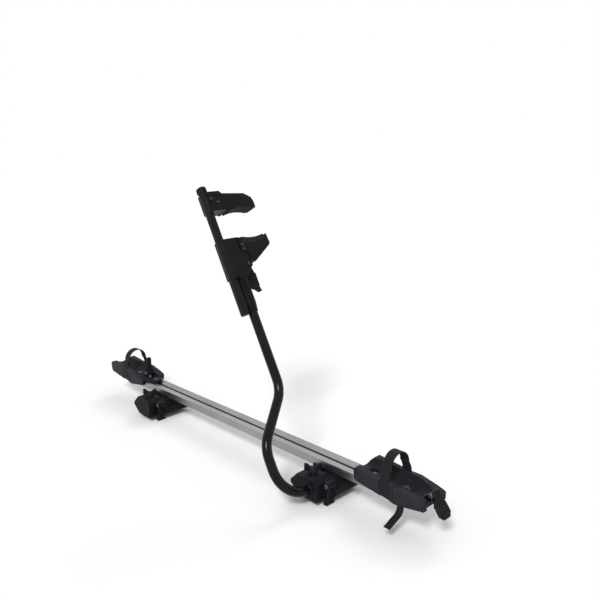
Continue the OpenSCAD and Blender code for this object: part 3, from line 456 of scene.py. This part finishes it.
def bent_tube():
    """The arm's tube: a ring spun through three bends and drawn along its straights."""
    outer_y = BEND_START + BEND_RADIUS
    jog_start = BEND_RADIUS + OUTER_LEG
    jog_sine, jog_cosine = math.sin(JOG_ANGLE), math.cos(JOG_ANGLE)
    jog_length = (outer_y - ARM_IN - 2 * BEND_RADIUS * (1 - jog_cosine)) / jog_sine
    jog_end = jog_start + 2 * BEND_RADIUS * jog_sine + jog_length * jog_cosine
    shape = bmesh.new()

    def bent(edges, centre, angle, steps):
        made = bmesh.ops.spin(shape, geom=edges, cent=(*centre, 0), axis=(0, 0, 1), angle=angle,
                              steps=steps, use_duplicate=False)
        return of_kind(BMEdge, made["geom_last"])

    turn = Matrix.Rotation(math.radians(90), 4, "Y")
    bmesh.ops.create_circle(shape, cap_ends=False, segments=TUBE_SIDES, radius=TUBE_RADIUS,
                            matrix=Matrix.Translation((-BEND_START, 0, 0)) @ turn)
    first = list(shape.edges)
    edges = bent(first, (-BEND_START, BEND_RADIUS), -ELBOW_ANGLE, ELBOW_STEPS)
    edges = drawn(shape, edges, (0, OUTER_LEG, 0))
    edges = bent(edges, (BEND_RADIUS - outer_y, jog_start), -JOG_ANGLE, JOG_STEPS)
    edges = drawn(shape, edges, (jog_length * jog_sine, jog_length * jog_cosine, 0))
    edges = bent(edges, (-ARM_IN - BEND_RADIUS, jog_end), JOG_ANGLE, JOG_STEPS)
    edges = drawn(shape, edges, (0, TUBE_TOP - jog_end, 0))
    for rim in (first, edges):
        bmesh.ops.contextual_create(shape, geom=rim)
    bmesh.ops.remove_doubles(shape, verts=shape.verts, dist=TUBE_WELD)
    bmesh.ops.recalc_face_normals(shape, faces=shape.faces)
    bmesh.ops.transform(shape, matrix=arm_place(), verts=shape.verts)
    add_piece("arm_tube_bent", shape, "arm_tube")


def webbing_band(name, node, points, width):
    """A flat band along a line of points, X across it, with its own map in metres."""
    shape = bmesh.new()
    own_map = shape.loops.layers.uv.new("band")
    near_edge = Vector((-width / 2, 0, 0))
    line = [shape.verts.new(point + near_edge) for point in points]
    edges = [shape.edges.new(pair) for pair in zip(line, line[1:])]
    for _ in range(STRAP_COLUMNS):
        edges = drawn(shape, edges, (width / STRAP_COLUMNS, 0, 0))
    lengths = [0.0]
    for start, end in zip(points, points[1:]):
        lengths.append(lengths[-1] + (end - start).length)
    for face in shape.faces:
        for loop in face.loops:
            sideways = loop.vert.co.x - points[0].x
            spot = loop.vert.co - Vector((sideways, 0, 0))
            nearest = min(range(len(points)), key=lambda i: (points[i] - spot).length)
            loop[own_map].uv = (sideways, lengths[nearest])
    bmesh.ops.recalc_face_normals(shape, faces=shape.faces)
    thicken(add_piece(name, shape, node, sharp=60), STRAP_THICK, STRAP_SOFT)


def stitched_box(name, node, start, onward, width):
    """Rows of stitches from the end of a band onward, standing a little out of both faces."""
    shape = bmesh.new()
    towards = (onward - start).normalized()
    facing = towards.cross(Vector((1, 0, 0)))
    stitch_pitch = (width / 2 - STITCH_MARGIN) / STITCHES_PER_SIDE
    stretch = Matrix.Diagonal((*STITCH_HALF_SIZES, 1))
    for row in range(STITCH_ROWS):
        for column in range(-STITCHES_PER_SIDE, STITCHES_PER_SIDE + 1):
            spot = start + towards * (STITCH_START + STITCH_PITCH * row)
            spot = spot + Vector((stitch_pitch * column, 0, 0))
            for side in (-1, 1):
                place = Matrix.Translation(spot + facing * side * STRAP_THICK / 2)
                bmesh.ops.create_uvsphere(shape, u_segments=STITCH_SEGMENTS,
                                          v_segments=STITCH_RINGS, radius=1,
                                          matrix=place @ stretch)
    add_piece(name, shape, node, stands_for=False)


def wall_y(z):
    """Half width of a tray's flared wall at a height above the rail's lips."""
    return SKIRT_HALF + (WALL_HALF - SKIRT_HALF) * (z + SKIRT_DROP) / (WALL_BACK + SKIRT_DROP)


def in_tray(end, x, y, z):
    return Vector((TRAY_X[end] + x, y, RAIL_TOP + z))


def strap_line(end):
    """Middle line of a strap: up the near wall, over in an arch and down the far wall."""
    middle = sum(corner.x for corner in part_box(end + "_strap")) / 2 - TRAY_X[end]
    spring = STRAP_HEIGHT - STRAP_ARCH
    wall = [(wall_y(z) - STRAP_THICK / 2, z) for z in STRAP_ON_WALL]
    start, knee, arch_foot = wall[-1], (wall_y(STRAP_KNEE), STRAP_KNEE), (STRAP_ARCH, spring)
    for step in range(1, KNEE_STEPS):
        t = step / KNEE_STEPS
        wall.append(tuple((1 - t) ** 2 * a + 2 * t * (1 - t) * b + t * t * c
                          for a, b, c in zip(start, knee, arch_foot)))
    near = [in_tray(end, middle, -y, z) for y, z in wall]
    turns = [math.radians(angle) for angle in range(0, 181, STRAP_STEP)]
    arch = [in_tray(end, middle, -STRAP_ARCH * math.cos(turn), spring + STRAP_ARCH * math.sin(turn))
            for turn in turns]
    far = [Vector((point.x, -point.y, point.z)) for point in reversed(near)]
    return near + arch + far


def tray_strap(end):
    line = strap_line(end)
    webbing_band(end + "_strap_webbing", end + "_strap", line, STRAP_WIDTH)
    stitched_box(end + "_strap_stitching", end + "_strap", line[0], line[3], STRAP_WIDTH)


def strap_tail():
    """Loose end of the front strap, hanging under its tray and curling outwards."""
    x, y, z = TAIL_AT
    line = [(y, z), (y, z - TAIL_DROP / 2)]
    for angle in range(0, TAIL_SWEEP + 1, STRAP_STEP):
        turn = math.radians(angle)
        line.append((y - TAIL_BEND * (1 - math.cos(turn)),
                     z - TAIL_DROP - TAIL_BEND * math.sin(turn)))
    turn = math.radians(TAIL_SWEEP)
    part = TAIL_RUN / TAIL_PARTS
    for _ in range(TAIL_PARTS):
        line.append((line[-1][0] - part * math.sin(turn), line[-1][1] - part * math.cos(turn)))
    points = [in_tray("front", x, *spot) for spot in line]
    webbing_band("front_strap_tail_webbing", "front_strap_tail", points, TAIL_WIDTH)
    stitched_box("front_strap_tail_stitching", "front_strap_tail", points[-1], points[-3],
                 TAIL_WIDTH)


def tray_panels(end):
    """Raised panels on both walls, each side of the strap's band."""
    shape = bmesh.new()
    for outline in PANELS:
        for side in (-1, 1):
            points = [in_tray(end, x * MM, side * (wall_y(z * MM) - PANEL_SINK), z * MM)
                      for x, z in outline]
            raised_panel(shape, points, Vector((0, side * PANEL_RISE, 0)), PANEL_ROUND)
    bmesh.ops.recalc_face_normals(shape, faces=shape.faces)
    panels = add_piece(end + "_tray_panels", shape, end + "_tray", stands_for=False)
    dress(panels, "tray_panel")
    even_shading(panels)


def tongue_rim():
    """Raised rim round the edge of the rear tray's tongue."""
    shape = bmesh.new()
    reach = TONGUE_HALF - RIM_INSET
    centre = TONGUE_TIP - TONGUE_HALF
    turns = [math.radians(angle) for angle in range(0, 181, RIM_STEP)]
    outline = [(centre - RIM_BACK, -reach)]
    outline += [(centre + reach * math.sin(turn), -reach * math.cos(turn)) for turn in turns]
    outline.append((centre - RIM_BACK, reach))
    face = flat_face(shape, [in_tray("rear", x, y, TONGUE_TOP - RIM_SINK) for x, y in outline])
    rim = bmesh.ops.inset_region(shape, faces=[face], thickness=RIM_WIDTH, use_boundary=True,
                                 use_even_offset=True)["faces"]
    bmesh.ops.delete(shape, geom=[face], context="FACES_ONLY")
    made = bmesh.ops.extrude_face_region(shape, geom=rim)["geom"]
    bmesh.ops.translate(shape, vec=(0, 0, RIM_RISE), verts=of_kind(BMVert, made))
    edges = [edge for edge in of_kind(BMEdge, made)
             if len(edge.link_faces) == 2 and edge.calc_face_angle() > RIM_CORNER]
    round_over(shape, edges, RIM_ROUND)
    bmesh.ops.recalc_face_normals(shape, faces=shape.faces)
    add_piece("rear_tongue_rim", shape, "rear_tray", stands_for=False)


def moulded_fields(node, faces, outlines):
    """Raised fields on the flat front and back of a piece of the holder."""
    shape = bmesh.new()
    for outline in outlines:
        for face_at in faces:
            side = math.copysign(1, face_at)
            points = [(x * MM, DECK + y * MM, face_at - side * FIELD_SINK) for x, y in outline]
            raised_panel(shape, points, Vector((0, 0, side * FIELD_RISE)), FIELD_ROUND)
    bmesh.ops.recalc_face_normals(shape, faces=shape.faces)
    bmesh.ops.transform(shape, matrix=arm_place(), verts=shape.verts)
    even_shading(add_piece(node + "_fields", shape, node, stands_for=False))


def saddle_lip():
    """Lip of the lower jaw's rubber lining, folded over the front and back of its saddle."""
    shape = bmesh.new()
    sweep = 2 * math.asin(LIP_REACH / SADDLE_RADIUS)
    first = Matrix.Rotation(math.radians(-90) - sweep / 2, 4, "Z")
    for face_at in (-LOWER_JAW_HALF, LOWER_JAW_HALF):
        verts = [shape.verts.new(first @ Vector((radius, 0, face_at)))
                 for radius in (LIP_INNER, LIP_OUTER)]
        edge = shape.edges.new(verts)
        bmesh.ops.spin(shape, geom=[edge], cent=(0, 0, face_at), axis=(0, 0, 1), angle=sweep,
                       steps=LIP_STEPS)
    bmesh.ops.recalc_face_normals(shape, faces=shape.faces)
    place = arm_place() @ Matrix.Translation((*SADDLE_CENTRE, 0))
    bmesh.ops.transform(shape, matrix=place, verts=shape.verts)
    thicken(add_piece("lower_jaw_lip", shape, "lower_jaw_pad", stands_for=False),
            LIP_THICK, LIP_SOFT)


for node, shown in NODES.items():
    dress(shown, "blackened_steel" if node in BLACKENED else SLOT_OF[node])

bent_tube()
for end in ENDS:
    tray_strap(end)
    tray_panels(end)
    for part, radius in END_ROUNDS.items():
        rounded_copy(end + "_" + part, radius * MM)
for node, radius in ROUNDS.items():
    rounded_copy(node, radius * MM)
strap_tail()
tongue_rim()
moulded_fields("holder_housing", (-HOUSING_HALF, HOUSING_HALF), HOUSING_FIELDS)
moulded_fields("lower_jaw", (LOWER_JAW_HALF,), (LOWER_JAW_FIELD,))
moulded_fields("upper_jaw", (UPPER_JAW_HALF,), (UPPER_JAW_FIELD,))
saddle_lip()


# Stage, light and camera

def studio_floor():
    """Pale floor under the feet: near white to the eye, with the object's soft shadow."""
    shape = bmesh.new()
    under = Matrix.Translation((0, 0, CAD_BOX[0].z - FLOOR_GAP))
    bmesh.ops.create_grid(shape, x_segments=1, y_segments=1, size=FLOOR_HALF, matrix=under)
    mesh = bpy.data.meshes.new("floor")
    shape.to_mesh(mesh)
    shape.free()
    floor = bpy.data.objects.new("floor", mesh)
    bpy.context.scene.collection.objects.link(floor)
    finish = new_finish("floor", FLOOR_LIGHT, roughness=1.0, Specular_IOR_Level=0.0)
    tint(finish, noise(finish, scale=2.0), FLOOR_DARK, FLOOR_LIGHT)
    mesh.materials.append(finish)


def studio_world():
    """Even light from all round at the fill's level, white to the eye and in reflections."""
    world = bpy.data.worlds.new("studio")
    world.use_nodes = True
    bpy.context.scene.world = world
    nodes, links = world.node_tree.nodes, world.node_tree.links
    sky = nodes["Background"]
    sky.inputs["Color"].default_value = (1, 1, 1, 1)
    ray = nodes.new("ShaderNodeLightPath")
    seen = ray.outputs["Is Camera Ray"]
    for kind in ("Is Glossy Ray", "Is Transmission Ray"):
        either = nodes.new("ShaderNodeMath")
        either.operation = "MAXIMUM"
        links.new(seen, either.inputs[0])
        links.new(ray.outputs[kind], either.inputs[1])
        seen = either.outputs["Value"]
    level = nodes.new("ShaderNodeMapRange")
    level.inputs["To Min"].default_value = FILL
    links.new(seen, level.inputs["Value"])
    links.new(level.outputs["Result"], sky.inputs["Strength"])


def soft_sun(name, place, spread, power):
    """A broad lamp far away, so that the floor is lit alike all over."""
    lamp = bpy.data.lights.new(name, "SUN")
    lamp.angle = math.radians(spread)
    lamp.energy = power
    light = bpy.data.objects.new(name, lamp)
    light.location = place
    middle = (CAD_BOX[0] + CAD_BOX[1]) / 2
    light.rotation_euler = (middle - Vector(place)).to_track_quat("-Z", "Y").to_euler()
    bpy.context.scene.collection.objects.link(light)


def photo_camera():
    """A camera with the photograph's eye, turn and framing."""
    level = Vector((math.cos(YAW), math.sin(YAW), 0))
    forward = level * math.cos(PITCH) - Vector((0, 0, math.sin(PITCH)))
    right = Vector((math.sin(YAW), -math.cos(YAW), 0))
    up = right.cross(forward)
    image_right = math.cos(ROLL) * right + math.sin(ROLL) * up
    image_up = math.cos(ROLL) * up - math.sin(ROLL) * right
    place = Matrix((image_right, image_up, -forward)).transposed().to_4x4()
    place.translation = EYE
    lens = bpy.data.cameras.new("photo_view")
    lens.sensor_width = SENSOR
    lens.lens = FOCAL_PX / PHOTO_SIDE * SENSOR
    lens.shift_x = 0.5 - AXIS_PX[0] / PHOTO_SIDE
    lens.shift_y = AXIS_PX[1] / PHOTO_SIDE - 0.5
    camera = bpy.data.objects.new("photo_view", lens)
    camera.matrix_world = place
    bpy.context.scene.collection.objects.link(camera)
    bpy.context.scene.camera = camera


bpy.context.scene.view_settings.view_transform = "Standard"
studio_floor()
studio_world()
for name, (place, spread, power) in LAMPS.items():
    soft_sun(name, place, spread, power)
photo_camera()
